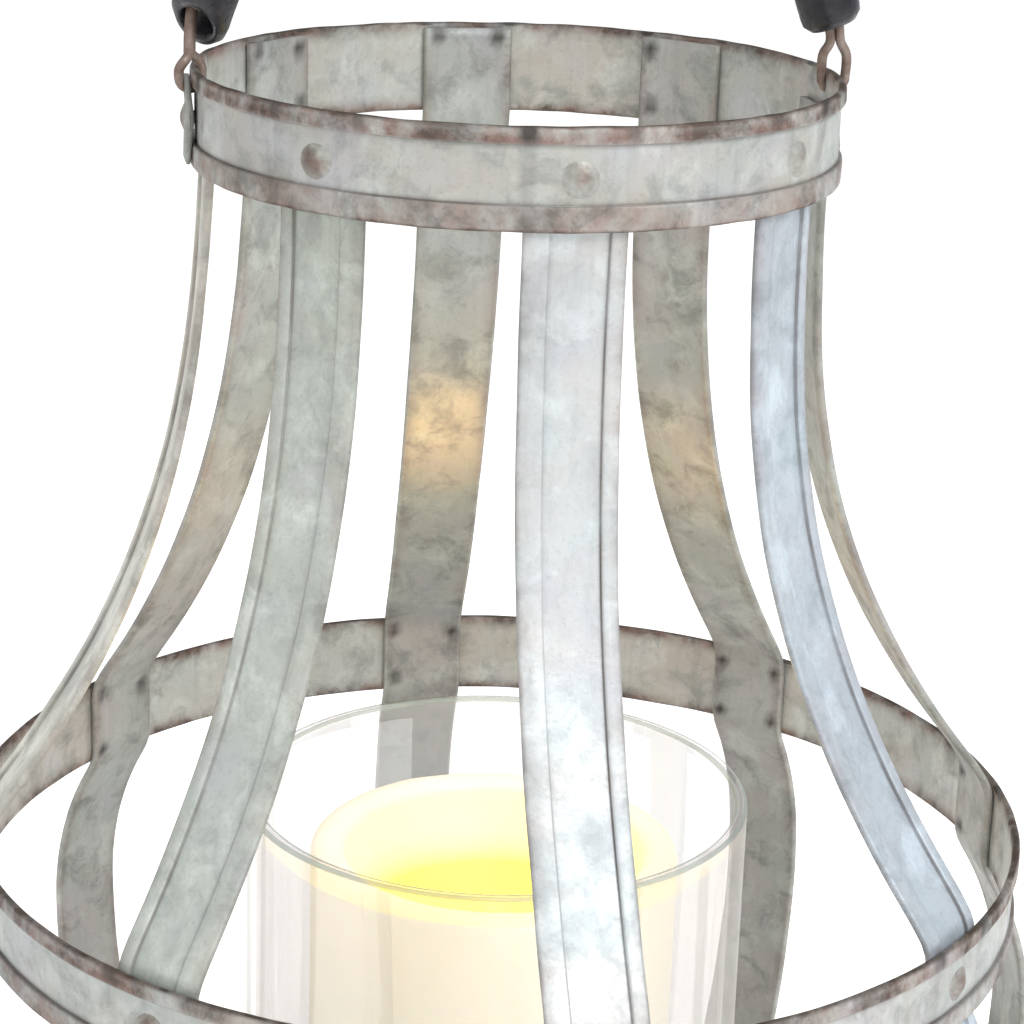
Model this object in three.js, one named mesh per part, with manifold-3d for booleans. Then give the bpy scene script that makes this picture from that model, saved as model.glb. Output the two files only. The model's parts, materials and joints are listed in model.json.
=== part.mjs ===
// Barn lantern: a cage of eight bent steel slats held by three riveted bands, with a glass
// chimney and a battery candle standing inside and a swinging carrying handle on top.
// Units are millimetres and +Z is up. The origin is the middle of the underside.
import * as THREE from "three";
import { mergeVertices } from "three/addons/utils/BufferGeometryUtils.js";
import Module from "manifold-3d";

const wasm = await Module();
wasm.setup();

// ---- driving dimensions ----
const SLATS = 8;
const GAP = 0.3; // air left between touching pieces
const SHEET = 0.8; // thickness of the galvanised strip
const STRIP = 18.4; // width of every strip, slats and bands alike
const HEM_NARROW = 3.4; // folded edge on one side of a strip
const HEM_WIDE = 4.6; // folded edge on the other side
const BAND_TURNS = 40; // flats round a band, five to each slat

const TOP_Z = 307; // rim of the top band
const MIDDLE_Z = 158; // upper edge of the middle band
const TOP_R = 62; // outside of the folded edges of each band
const MIDDLE_R = 106.8;
const BASE_R = 94;

const FLARE_POWER = 2.5; // how late the slats flare out below the top band
const BELLY_Z = 102; // widest place of the slats
const BELLY_R = 115.2; // inner face of a slat there
const BEND = 3; // height taken by a sharp bend

const FLOOR = 1.0; // thickness of the base plate
const PLATE_LIP = 14; // height of the base plate's turned-up edge

const CHIMNEY_R = 51.9;
const CHIMNEY_WALL = 2.6;
const CHIMNEY_RIM_Z = 159.2;

const CANDLE_R = 38.2;
const CANDLE_TOP_Z = 147.2;
const CANDLE_WALL = 7; // wax left at the rim of the bowl
const CANDLE_BOWL = 24; // depth of the bowl in the candle's top

const PIVOT_DROP = 3.8; // the handle's holes below the rim
const LOOP_WIRE_R = 0.95;
const LOOP_HALF = 2.85; // half the distance between a loop's two legs
const LOOP_HEIGHT = 9.6; // from the hole to the handle's straight leg
const EAR_SHEET = 1.0;
const HANDLE_LEAN = THREE.MathUtils.degToRad(5); // forward of upright
const HANDLE_TILT = THREE.MathUtils.degToRad(1.25); // the arch hangs lower on the left
const LEG_SLOPE = THREE.MathUtils.degToRad(20); // the legs lean in by this much
const LEG_LENGTH = 16;
const SLEEVE_R = 5.85;
const SLEEVE_WALL = 2.4;
const SLEEVE_ROUND = 3.4; // length of a sleeve's rounded end
const CORE_WIRE_R = 2.6;
const LOOP_NECK = 1.1; // half the distance between the two legs where they meet the bar
const BAR_START = 1.2; // the bar's bare end stands this far inside the sleeve

// ---- dimensions worked out from those ----
const HEMMED = 2 * SHEET; // thickness where an edge is folded over
const EIGHTH = (2 * Math.PI) / SLATS;
const cornerRadius = (flat) => flat / Math.cos(Math.PI / BAND_TURNS);
const slatInside = (bandR) => {
  const corner = bandR - HEMMED - GAP;
  return Math.sqrt(corner ** 2 - (STRIP / 2) ** 2) - HEMMED;
};
const SLAT_TOP_R = slatInside(TOP_R);
const SLAT_MIDDLE_R = slatInside(MIDDLE_R);
const SLAT_BASE_R = slatInside(BASE_R);
const EAR_X = TOP_R + GAP; // inner face of an ear
const PIVOT_X = (TOP_R - HEMMED + EAR_X + EAR_SHEET) / 2;
const PIVOT_Z = TOP_Z - PIVOT_DROP;
const CANDLE_Z = FLOOR + GAP;

const root = new THREE.Group();

// ---- materials ----
const metal = (color, roughness) =>
  new THREE.MeshStandardMaterial({ color, roughness, metalness: 0.9 });
const plain = (color, roughness) =>
  new THREE.MeshStandardMaterial({ color, roughness, metalness: 0 });
const GALVANISED = metal(0xb4b9b8, 0.45);
const RUSTED = metal(0x8a7568, 0.6);
const WIRE = metal(0x6f625a, 0.5);
const BRASS = metal(0xb9a05a, 0.4);
const SLEEVING = plain(0x1c1c22, 0.5);
const WAX = plain(0xfff3cf, 0.5);
const PLASTIC = plain(0xf2ead2, 0.45);
const DARK_PLASTIC = plain(0x24242a, 0.4);
const BOARD = plain(0x2d5a3a, 0.5);
const BATTERY = metal(0x6d7a80, 0.35);
const LAMP = new THREE.MeshStandardMaterial({
  color: 0xffe9a0,
  roughness: 0.3,
  metalness: 0,
  emissive: 0xffd860,
});
const GLASS = new THREE.MeshStandardMaterial({
  color: 0xf2f7f4,
  roughness: 0.05,
  metalness: 0,
  transparent: true,
  opacity: 0.3,
});

// ---- joining and cutting ----
function solid(geometry) {
  const bare = geometry.index ? geometry.toNonIndexed() : geometry.clone();
  bare.deleteAttribute("normal");
  bare.deleteAttribute("uv");
  const merged = mergeVertices(bare, 1e-4);
  return new wasm.Manifold(
    new wasm.Mesh({
      numProp: 3,
      vertProperties: merged.attributes.position.array,
      triVerts: new Uint32Array(merged.index.array),
    }),
  );
}

function geometryOf(body) {
  const mesh = body.getMesh();
  const geometry = new THREE.BufferGeometry();
  geometry.setAttribute("position", new THREE.BufferAttribute(mesh.vertProperties, 3));
  geometry.setIndex(new THREE.BufferAttribute(mesh.triVerts, 1));
  return geometry;
}

const joined = (geometries) =>
  geometryOf(geometries.map(solid).reduce((body, next) => body.add(next)));

function cut(geometry, holes) {
  const body = holes.map(solid).reduce((left, hole) => left.subtract(hole), solid(geometry));
  return geometryOf(body);
}

function add(name, geometry, material, parent = root) {
  const mesh = new THREE.Mesh(geometry, material);
  mesh.name = name;
  parent.add(mesh);
  return mesh;
}

// A group turned to a slat's direction, so that +X inside it points outwards there.
function facing(index) {
  const group = new THREE.Group();
  group.rotation.z = index * EIGHTH;
  root.add(group);
  return group;
}

// ---- basic shapes ----
const vectors = (pairs) => pairs.map(([x, y]) => new THREE.Vector2(x, y));

// Turns an outline of [radius, height] pairs about Z, with a flat facing +X.
function turned(outline, turns) {
  const geometry = new THREE.LatheGeometry(vectors(outline), turns, Math.PI / turns);
  return geometry.rotateX(Math.PI / 2);
}

function discOnZ(radius, z, height, sides) {
  const geometry = new THREE.CylinderGeometry(radius, radius, height, sides);
  return geometry.rotateX(Math.PI / 2).translate(0, 0, z + height / 2);
}

// A short bar along X at a height, for cutting the holes of rivets and loops.
function drill(radius, from, to, z, sides = 8) {
  const geometry = new THREE.CylinderGeometry(radius, radius, to - from, sides);
  return geometry.rotateZ(Math.PI / 2).translate((from + to) / 2, 0, z);
}

// A round bar that follows a curve.
function bar(curve, radius, sides, steps) {
  const section = new THREE.Shape();
  section.absarc(0, 0, radius, 0, 2 * Math.PI, false);
  const settings = { steps, extrudePath: curve, bevelEnabled: false, curveSegments: sides };
  return new THREE.ExtrudeGeometry(section, settings);
}

// ---- bands ----
const RIVET_SHANK_R = 1.3;
const RIVET_HOLE_R = RIVET_SHANK_R + GAP;
const LOOP_HOLE_R = LOOP_WIRE_R + 1.0;
const HOLE_REACH = 4; // how far a drill runs past both faces

// A strip rolled into a ring with its edges folded outwards, drilled at every slat.
function band(outerR, topZ, loopHoles = false) {
  const bottomZ = topZ - STRIP;
  const inside = cornerRadius(outerR - HEMMED);
  const web = cornerRadius(outerR - SHEET);
  const outside = cornerRadius(outerR);
  const outline = [
    [inside, topZ],
    [inside, bottomZ],
    [outside, bottomZ],
    [outside, bottomZ + HEM_WIDE],
    [web, bottomZ + HEM_WIDE],
    [web, topZ - HEM_NARROW],
    [outside, topZ - HEM_NARROW],
    [outside, topZ],
    [inside, topZ],
  ];
  const holes = [];
  for (let i = 0; i < SLATS; i++) {
    const through = [outerR - HEMMED - HOLE_REACH, outerR + HOLE_REACH];
    holes.push(drill(RIVET_HOLE_R, ...through, topZ - STRIP / 2).rotateZ(i * EIGHTH));
    if (loopHoles && carriesEar(i))
      holes.push(drill(LOOP_HOLE_R, ...through, PIVOT_Z, 12).rotateZ(i * EIGHTH));
  }
  return cut(turned(outline, BAND_TURNS), holes);
}

// ---- slats ----
// Points along an arc that starts upright at `widest`, bulging towards `side` (+1 is
// outwards), as the height changes by `climb`.
function arcFrom(widest, radius, side, climb, steps) {
  const made = [];
  const whole = Math.asin(climb / radius);
  for (let i = 0; i <= steps; i++) {
    const turn = (whole * i) / steps;
    const inward = radius * (1 - Math.cos(turn));
    made.push(new THREE.Vector2(widest.x - side * inward, widest.y + radius * Math.sin(turn)));
  }
  return made;
}

// Radius of the arc that is upright at one end and reaches `across` sideways over `climb`.
const arcRadius = (climb, across) => (climb ** 2 + across ** 2) / (2 * across);

// The hollow curve from the top band out to the middle band.
function flarePoints(steps) {
  const drop = TOP_Z - STRIP - MIDDLE_Z;
  const made = [];
  for (let i = 0; i <= steps; i++) {
    const t = (i / steps) * (1 - 1 / drop);
    const x = SLAT_TOP_R + (SLAT_MIDDLE_R - SLAT_TOP_R) * t ** FLARE_POWER;
    made.push(new THREE.Vector2(x, TOP_Z - STRIP - drop * t));
  }
  return made;
}

function bend(from, corner, to) {
  return new THREE.QuadraticBezierCurve(from, corner, to).getPoints(2);
}

// The inner face of a slat seen from the side, from its top end to its bottom end.
function slatLine(topEnd) {
  const at = (x, y) => new THREE.Vector2(x, y);
  const flare = flarePoints(8);
  const belly = at(BELLY_R, BELLY_Z);
  const middleBottom = MIDDLE_Z - STRIP;
  const bulgeR = arcRadius(middleBottom - BELLY_Z, BELLY_R - SLAT_MIDDLE_R);
  const bulge = arcFrom(belly, bulgeR, 1, middleBottom - BELLY_Z - BEND, 3).reverse();
  const bandTop = STRIP + GAP;
  const footR = arcRadius(BELLY_Z - bandTop, BELLY_R - SLAT_BASE_R);
  const foot = arcFrom(belly, footR, 1, -(BELLY_Z - bandTop - BEND), 5).slice(1);
  return [
    at(SLAT_TOP_R, topEnd),
    ...flare,
    ...bend(
      at(SLAT_MIDDLE_R - GAP, MIDDLE_Z),
      at(SLAT_MIDDLE_R, MIDDLE_Z - 1),
      at(SLAT_MIDDLE_R, MIDDLE_Z - BEND),
    ).slice(1),
    at(SLAT_MIDDLE_R, middleBottom - GAP),
    ...bulge,
    ...foot,
    ...bend(foot.at(-1), at(SLAT_BASE_R, bandTop + 1), at(SLAT_BASE_R, bandTop)).slice(1),
    at(SLAT_BASE_R, GAP),
  ];
}

// The line pushed outwards by a distance, square to its own direction.
function offset(line, distance) {
  return line.map((point, i) => {
    const before = line[Math.max(i - 1, 0)];
    const after = line[Math.min(i + 1, line.length - 1)];
    const along = after.clone().sub(before).normalize();
    return new THREE.Vector2(point.x - along.y * distance, point.y + along.x * distance);
  });
}

// A length of bent strip of a given thickness, between two places across its width.
function bentStrip(line, thickness, from, to) {
  const outline = new THREE.Shape([...line, ...offset(line, thickness).reverse()]);
  const settings = { depth: to - from, bevelEnabled: false };
  return new THREE.ExtrudeGeometry(outline, settings).translate(0, 0, from).rotateX(Math.PI / 2);
}

function slat(topEnd) {
  const line = slatLine(topEnd);
  const half = STRIP / 2;
  const strip = joined([
    bentStrip(line, SHEET, -half, half),
    bentStrip(line, HEMMED, -half, -half + HEM_NARROW),
    bentStrip(line, HEMMED, half - HEM_WIDE, half),
  ]);
  const rows = [
    [SLAT_TOP_R, TOP_Z],
    [SLAT_MIDDLE_R, MIDDLE_Z],
    [SLAT_BASE_R, STRIP],
  ];
  const holes = rows.map(([r, topZ]) =>
    drill(RIVET_HOLE_R, r - HOLE_REACH, r + HOLE_REACH, topZ - STRIP / 2),
  );
  return cut(strip, holes);
}

// ---- rivets ----
// A domed rivet along +X: head outside, shank through the strips, small tail inside.
function rivet(headX, tailX) {
  const headR = 3.5;
  const headHeight = 1.5;
  const tailR = 2.1;
  const tailHeight = 0.5;
  const outline = [
    [0, tailX - tailHeight],
    [tailR, tailX - tailHeight],
    [tailR, tailX],
    [RIVET_SHANK_R, tailX],
    [RIVET_SHANK_R, headX],
    [headR, headX],
    [headR * 0.72, headX + headHeight * 0.72],
    [0, headX + headHeight],
  ];
  return new THREE.LatheGeometry(vectors(outline), 8).rotateZ(-Math.PI / 2);
}

// ---- ears: straps outside the top band, each with a hole for a loop of the handle ----
const EAR_HALF = 4.5;
const EAR_FOOT = 1; // the strap stops this far above the band's lower edge

function ear() {
  const roundZ = TOP_Z - EAR_HALF;
  const outline = new THREE.Shape();
  outline.moveTo(-EAR_HALF, TOP_Z - STRIP + EAR_FOOT);
  outline.lineTo(EAR_HALF, TOP_Z - STRIP + EAR_FOOT);
  outline.absarc(0, roundZ, EAR_HALF, 0, Math.PI, false);
  const settings = { depth: EAR_SHEET, bevelEnabled: false, curveSegments: 5 };
  const strap = new THREE.ExtrudeGeometry(outline, settings);
  strap.rotateX(Math.PI / 2).rotateZ(Math.PI / 2).translate(EAR_X, 0, 0);
  const through = [EAR_X - 2, EAR_X + HOLE_REACH];
  return cut(strap, [
    drill(LOOP_HOLE_R, ...through, PIVOT_Z, 12),
    drill(RIVET_HOLE_R, ...through, TOP_Z - STRIP / 2),
  ]);
}

// ---- handle, modelled upright with the hinge line through its own origin ----
// Centre line of the arched bar between two places, counted along the legs from the loops.
function archCurve(start) {
  const foot = new THREE.Vector2(PIVOT_X, LOOP_HEIGHT);
  const along = new THREE.Vector2(-Math.sin(LEG_SLOPE), Math.cos(LEG_SLOPE));
  const legAt = (distance) => foot.clone().addScaledVector(along, distance);
  const legEnd = legAt(LEG_LENGTH);
  const radius = legEnd.x / Math.cos(LEG_SLOPE);
  const centreZ = legEnd.y - radius * Math.sin(LEG_SLOPE);
  const arc = new THREE.EllipseCurve(
    0,
    centreZ,
    radius,
    radius,
    LEG_SLOPE,
    Math.PI - LEG_SLOPE,
    false,
  );
  const right = [legAt(start), legAt((start + LEG_LENGTH) / 2)];
  const left = right.map((p) => new THREE.Vector2(-p.x, p.y)).reverse();
  const flat = [...right, ...arc.getPoints(14), ...left].map(tilted);
  return new THREE.CatmullRomCurve3(flat.map((p) => new THREE.Vector3(p.x, 0, p.y)));
}

function tilted(point) {
  return point.clone().rotateAround(new THREE.Vector2(0, 0), HANDLE_TILT);
}

// Half of a long wire loop on the +X side, on the outer (+1) or inner (-1) side of the
// band: round under the rim, up a straight leg, and in to the foot of the arched bar.
function loopLeg(side, foot) {
  const past = LOOP_WIRE_R / 3; // the halves lap over each other under the rim
  const points = [[PIVOT_X - side * past, 0]];
  for (let i = 0; i <= 4; i++) {
    const turn = (i * Math.PI) / 8;
    const across = side * LOOP_HALF * Math.sin(turn);
    points.push([PIVOT_X + across, LOOP_HALF * (1 - Math.cos(turn))]);
  }
  points.push([(PIVOT_X + foot.x) / 2 + side * LOOP_HALF * 1.04, foot.y * 0.55]);
  points.push([foot.x + side * LOOP_NECK, foot.y - 1.5]);
  points.push([foot.x + side * LOOP_NECK - 0.4, foot.y + BAR_START]);
  points.push([foot.x + side * LOOP_NECK * 0.6 - 1, foot.y + 2 * BAR_START]);
  const curve = new THREE.CatmullRomCurve3(points.map(([x, z]) => new THREE.Vector3(x, 0, z)));
  return bar(curve, LOOP_WIRE_R, 3, 12);
}

function handleWire() {
  const arch = bar(archCurve(BAR_START), CORE_WIRE_R, 4, 18);
  const legs = [];
  for (const end of [1, -1]) {
    const foot = tilted(new THREE.Vector2(end * PIVOT_X, LOOP_HEIGHT));
    foot.x *= end;
    for (const side of [1, -1]) {
      const leg = loopLeg(side, foot);
      legs.push(end === 1 ? leg : leg.rotateZ(Math.PI));
    }
  }
  return joined([arch, ...legs]);
}

function handleSleeve() {
  const outer = [bar(archCurve(SLEEVE_ROUND), SLEEVE_R, 6, 18)];
  const curve = archCurve(SLEEVE_ROUND);
  for (const end of [0, 1]) {
    const place = curve.getPointAt(end);
    const along = curve.getTangentAt(end);
    const cap = new THREE.SphereGeometry(SLEEVE_R, 12, 6);
    cap.rotateX(Math.PI / 2).scale(1, 1, SLEEVE_ROUND / SLEEVE_R);
    const turn = new THREE.Quaternion().setFromUnitVectors(new THREE.Vector3(0, 0, 1), along);
    outer.push(cap.applyQuaternion(turn).translate(place.x, place.y, place.z));
  }
  const bore = bar(archCurve(-SLEEVE_ROUND), SLEEVE_R - SLEEVE_WALL, 4, 20);
  return cut(joined(outer), [bore]);
}

// ---- base plate: a pan riveted inside the base band, with a ring that centres the glass ----
function basePlate() {
  const outside = cornerRadius(SLAT_BASE_R - GAP);
  const inside = outside - SHEET;
  const ringIn = CHIMNEY_R + 1;
  const ringOut = ringIn + 2.6;
  const ringTop = FLOOR + 2.4;
  const outline = [
    [0, 0],
    [outside, 0],
    [outside, PLATE_LIP],
    [inside, PLATE_LIP],
    [inside, FLOOR],
    [ringOut, FLOOR],
    [ringOut - 0.6, ringTop],
    [ringIn + 0.6, ringTop],
    [ringIn, FLOOR],
    [0, FLOOR],
  ];
  const holes = [];
  for (let i = 0; i < SLATS; i++) {
    const through = [SLAT_BASE_R - HOLE_REACH, SLAT_BASE_R + HOLE_REACH];
    holes.push(drill(RIVET_HOLE_R, ...through, STRIP / 2).rotateZ(i * EIGHTH));
  }
  return cut(turned(outline, BAND_TURNS), holes);
}

// ---- glass chimney, open at both ends ----
function chimney() {
  const bottom = FLOOR + GAP;
  const inside = CHIMNEY_R - CHIMNEY_WALL;
  const lipZ = CHIMNEY_RIM_Z - 0.8;
  const outline = [
    [inside, lipZ],
    [inside, bottom],
    [CHIMNEY_R, bottom],
    [CHIMNEY_R, lipZ],
    [CHIMNEY_R - CHIMNEY_WALL / 2, CHIMNEY_RIM_Z],
    [inside, lipZ],
  ];
  return turned(outline, BAND_TURNS);
}

// ---- battery candle, heights counted from its own underside ----
const CORE_R = 25; // plastic body inside the wax
const CORE_HEIGHT = 76.5;
const CAVITY_R = 21.3; // battery space in the plastic body
const CAVITY_DEPTH = 58;
const COVER_R = 21;
const COVER_Z = 1.8; // the cover sits this far up inside the mouth
const COVER_THICK = 1.8;
const BATTERY_R = 7.1;
const BATTERY_LENGTH = 49;
const BATTERY_Z = 5.2;
const BATTERY_X = 8.2;
const LAMP_R = 5;
const BOWL_FLOOR = CANDLE_TOP_Z - CANDLE_Z - CANDLE_BOWL;
const POST_TOP = BOWL_FLOOR - 6;
const SWITCH_TRAVEL = 1.6;
const SWITCH_X = CORE_R - 1.9;

const candle = new THREE.Group();
candle.position.z = CANDLE_Z;
root.add(candle);

function waxShell() {
  const height = CANDLE_TOP_Z - CANDLE_Z;
  const bore = CORE_R + GAP;
  const lampHole = LAMP_R + 0.5;
  const bowlR = CANDLE_R - CANDLE_WALL;
  const outline = [
    [bore, 0],
    [CANDLE_R, 0],
    [CANDLE_R, height - 2],
    [CANDLE_R - 2, height],
    [bowlR + 2, height - 1],
    [bowlR, height - 5],
    [bowlR * 0.86, BOWL_FLOOR + 4],
    [bowlR * 0.6, BOWL_FLOOR],
    [lampHole, BOWL_FLOOR],
    [lampHole, CORE_HEIGHT + 20],
    [bore, CORE_HEIGHT + 0.5],
    [bore, 0],
  ];
  return turned(outline, 32);
}

// The plastic body: open below for the batteries, with a post that carries the lamp.
function candleCore() {
  const outline = [
    [0, CAVITY_DEPTH],
    [CAVITY_R, CAVITY_DEPTH],
    [CAVITY_R, 0],
    [CORE_R, 0],
    [CORE_R, CORE_HEIGHT],
    [LAMP_R + 1.6, CORE_HEIGHT],
    [LAMP_R, CORE_HEIGHT + 1.6],
    [LAMP_R, POST_TOP],
    [0, POST_TOP],
  ];
  const switchSlot = new THREE.BoxGeometry(2.6, 3.6, 40).translate(SWITCH_X, 0, 0);
  return cut(turned(outline, 24), [switchSlot]);
}

// The lamp: a low flame-shaped diffuser on top of the post.
function lamp() {
  const low = POST_TOP + GAP;
  const outline = [
    [0, low],
    [LAMP_R, low],
    [LAMP_R, low + 6],
    [LAMP_R * 0.8, low + 9],
    [LAMP_R * 0.35, low + 12],
    [0, low + 13],
  ];
  return turned(outline, 14);
}

function batteryCell() {
  const top = BATTERY_Z + BATTERY_LENGTH;
  const outline = [
    [0, BATTERY_Z],
    [BATTERY_R, BATTERY_Z],
    [BATTERY_R, top - 1.5],
    [BATTERY_R * 0.4, top - 1.5],
    [BATTERY_R * 0.4, top],
    [0, top],
  ];
  return turned(outline, 12);
}

// A cover that turns in the mouth of the plastic body, with a bar to grip it by.
function batteryCover() {
  const plate = discOnZ(COVER_R, COVER_Z, COVER_THICK, 24);
  const grip = new THREE.BoxGeometry(22, 3, 0.9).translate(0, 0, COVER_Z - 0.35);
  return joined([plate, grip]);
}

// The strip on the cover that joins the two cells.
function contactStrip() {
  const z = (COVER_Z + COVER_THICK + BATTERY_Z) / 2;
  return new THREE.BoxGeometry(24, 7, 0.6).translate(0, 0, z);
}

// ---- assembly ----
const carriesEar = (index) => index % (SLATS / 2) === 0;

add("top_band", band(TOP_R, TOP_Z, true), GALVANISED);
add("middle_band", band(MIDDLE_R, MIDDLE_Z), GALVANISED);
add("base_band", band(BASE_R, STRIP), GALVANISED);
add("base_plate", basePlate(), GALVANISED);

// The two slats behind the ears stop below the loops.
const fullSlat = slat(TOP_Z - 1);
const shortSlat = slat(PIVOT_Z - LOOP_HOLE_R - 1);
for (let i = 0; i < SLATS; i++) {
  const shape = carriesEar(i) ? shortSlat : fullSlat;
  add(`slat_${i + 1}`, shape, GALVANISED, facing(i));
}

const rivetRows = [
  ["top", TOP_R, TOP_Z, SLAT_TOP_R - GAP],
  ["middle", MIDDLE_R, MIDDLE_Z, SLAT_MIDDLE_R - GAP],
  ["base", BASE_R, STRIP, SLAT_BASE_R - 2 * GAP - SHEET],
];
for (const [row, bandR, topZ, tailX] of rivetRows) {
  for (let i = 0; i < SLATS; i++) {
    const overEar = row === "top" && carriesEar(i);
    const headX = overEar ? EAR_X + EAR_SHEET + GAP : bandR - SHEET + GAP;
    const mesh = add(`rivet_${row}_${i + 1}`, rivet(headX, tailX), RUSTED, facing(i));
    mesh.position.z = topZ - STRIP / 2;
  }
}

const earShape = ear();
add("ear_right", earShape, GALVANISED, facing(0));
add("ear_left", earShape, GALVANISED, facing(SLATS / 2));

const handle = new THREE.Group();
handle.position.z = PIVOT_Z;
handle.rotation.x = HANDLE_LEAN;
root.add(handle);
add("handle_wire", handleWire(), WIRE, handle);
add("handle_sleeve", handleSleeve(), SLEEVING, handle);

add("glass_chimney", chimney(), GLASS);

add("candle_wax", waxShell(), WAX, candle);
add("candle_core", candleCore(), PLASTIC, candle);
add("candle_lamp", lamp(), LAMP, candle);
add("battery_cover", batteryCover(), PLASTIC, candle);
add("battery_contact", contactStrip(), BRASS, candle);
add("candle_board", discOnZ(CAVITY_R - 1.3, CAVITY_DEPTH - 1.9, 1.6, 16), BOARD, candle);
const cell = batteryCell();
add("battery_1", cell, BATTERY, candle).position.x = -BATTERY_X;
add("battery_2", cell, BATTERY, candle).position.x = BATTERY_X;

// The on-off slide in the rim of the plastic body.
const knob = add("candle_switch", new THREE.BoxGeometry(2, 1.6, 2.4), DARK_PLASTIC, candle);
knob.position.set(SWITCH_X, -SWITCH_TRAVEL / 2, 1.3);

export default root;
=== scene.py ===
"""Looks of the barn lantern: detailed metalwork, glass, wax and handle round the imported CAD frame."""

import json
import math
import random

import bpy
from mathutils import Matrix, Vector, noise


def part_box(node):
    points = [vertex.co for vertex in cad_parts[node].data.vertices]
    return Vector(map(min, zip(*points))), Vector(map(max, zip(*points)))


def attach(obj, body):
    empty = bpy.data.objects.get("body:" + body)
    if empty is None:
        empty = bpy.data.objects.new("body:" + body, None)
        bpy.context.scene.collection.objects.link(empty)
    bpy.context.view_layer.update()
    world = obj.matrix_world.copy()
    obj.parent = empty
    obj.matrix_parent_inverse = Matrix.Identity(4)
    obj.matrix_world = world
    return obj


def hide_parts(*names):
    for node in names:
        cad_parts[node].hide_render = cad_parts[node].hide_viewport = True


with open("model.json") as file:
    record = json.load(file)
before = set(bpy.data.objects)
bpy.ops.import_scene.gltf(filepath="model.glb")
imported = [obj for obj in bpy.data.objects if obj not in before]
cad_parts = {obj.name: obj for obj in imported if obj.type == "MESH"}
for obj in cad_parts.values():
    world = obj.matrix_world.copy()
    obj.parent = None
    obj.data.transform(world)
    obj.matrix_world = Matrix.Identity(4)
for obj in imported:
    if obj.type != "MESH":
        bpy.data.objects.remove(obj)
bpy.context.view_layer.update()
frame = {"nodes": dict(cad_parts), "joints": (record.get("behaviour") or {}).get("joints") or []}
random.seed(11)

MM = 0.001
TAU = 2 * math.pi

# ---- sizes read from the frame ----
TOP_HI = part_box("top_band")[1]
MIDDLE_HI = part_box("middle_band")[1]
BASE_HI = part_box("base_band")[1]
RIM_Z = TOP_HI.z  # rim of the top band
TOP_R = TOP_HI.x - 0.2 * MM  # outside of the bands' folded edges
MIDDLE_R = MIDDLE_HI.x - 0.3 * MM
BASE_R = BASE_HI.x - 0.3 * MM
STRIP = BASE_HI.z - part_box("base_band")[0].z  # width of every strip
BELLY_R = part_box("slat_1")[1].x  # widest reach of the slats
CHIMNEY_LO, CHIMNEY_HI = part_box("glass_chimney")
WAX_LO, WAX_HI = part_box("candle_wax")
PLATE_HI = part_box("base_plate")[1]
SWING = next(j for j in frame["joints"] if j["name"] == "handle_swing")
PIVOT_Z = SWING["pos_m"][2]

# ---- sizes of the sheet metal ----
SLATS = 8
SHEET = 0.8 * MM  # thickness of the metal
HEMMED = 2 * SHEET  # and of an edge that is folded over
HEM_NARROW = 3.2 * MM  # width of a strip's two folds
HEM_WIDE = 4.7 * MM
FLARE_POWER = 2.5  # how late the neck flares out to the middle band
BELLY_Z = 102 * MM  # height of the slats' widest reach
SIDE_BEND = 1.3 * MM  # how far the neck of the cage is pushed over to the left
STIFF = {5: 0.2, 6: 0.5}  # the two slats nearest the front left give less than that
WELD_R = 1.7 * MM  # size of a burnt spot left by a weld
SNUG = 0.05 * MM  # air between a slat and its bands
DENT = 0.10 * MM  # depth of the dents in a hand-worked strip
WAVE = 0.12 * MM  # how far a band is out of true
LEAST_BOW = 0.25  # share of the bands' curve that a slat keeps between them
UNBOW = 22 * MM  # a slat takes this far beyond a band to lose the rest
STRIP_VALUES = ("crevice", "edge", "inner", "scorch")  # per point, for the strip's material


# ---- mesh building ----
def make_object(name, verts, faces, material, values=None, smooth=True):
    """A mesh object, with named per-vertex numbers for its material to read."""
    mesh = bpy.data.meshes.new(name)
    mesh.from_pydata([tuple(v) for v in verts], [], faces)
    mesh.validate()
    for key, numbers in (values or {}).items():
        attribute = mesh.attributes.new(key, "FLOAT", "POINT")
        attribute.data.foreach_set("value", numbers)
    for polygon in mesh.polygons:
        polygon.use_smooth = smooth
    obj = bpy.data.objects.new(name, mesh)
    bpy.context.scene.collection.objects.link(obj)
    obj.data.materials.append(material)
    return obj


def skin(rings, closed=False):
    """Faces over equal rings of points; an open run of rings is capped at both ends."""
    count = len(rings[0])
    verts = [p for ring in rings for p in ring]
    faces = []
    spans = len(rings) if closed else len(rings) - 1
    for i in range(spans):
        a = i * count
        b = ((i + 1) % len(rings)) * count
        for j in range(count):
            k = (j + 1) % count
            faces.append((a + j, a + k, b + k, b + j))
    if not closed:
        faces.append(tuple(range(count - 1, -1, -1)))
        last = (len(rings) - 1) * count
        faces.append(tuple(last + j for j in range(count)))
    return verts, faces


def lathe(name, outline, turns, material, wobble=None, values=None):
    """Turns a closed outline of (radius, height) about Z."""
    rings = []
    for i in range(turns):
        angle = TAU * i / turns
        ring = []
        for r, z in outline:
            shift = wobble(angle, r, z) if wobble else (0, 0)
            ring.append(Vector((math.cos(angle), math.sin(angle), 0)) * (r + shift[0]))
            ring[-1].z = z + shift[1]
        rings.append(ring)
    verts, faces = skin(rings, closed=True)
    faces = [tuple(reversed(f)) for f in faces]
    return make_object(name, verts, faces, material, values)


def rounded(outline, radius, steps=4):
    """The closed outline with each corner turned into a short arc."""
    made = []
    count = len(outline)
    for i in range(count):
        here = Vector(outline[i])
        before = Vector(outline[i - 1]) - here
        after = Vector(outline[(i + 1) % count]) - here
        reach = min(radius, before.length * 0.45, after.length * 0.45)
        start = here + before.normalized() * reach
        end = here + after.normalized() * reach
        for k in range(steps + 1):
            t = k / steps
            made.append(tuple(start * (1 - t) ** 2 + here * 2 * t * (1 - t) + end * t * t))
    return made


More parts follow.
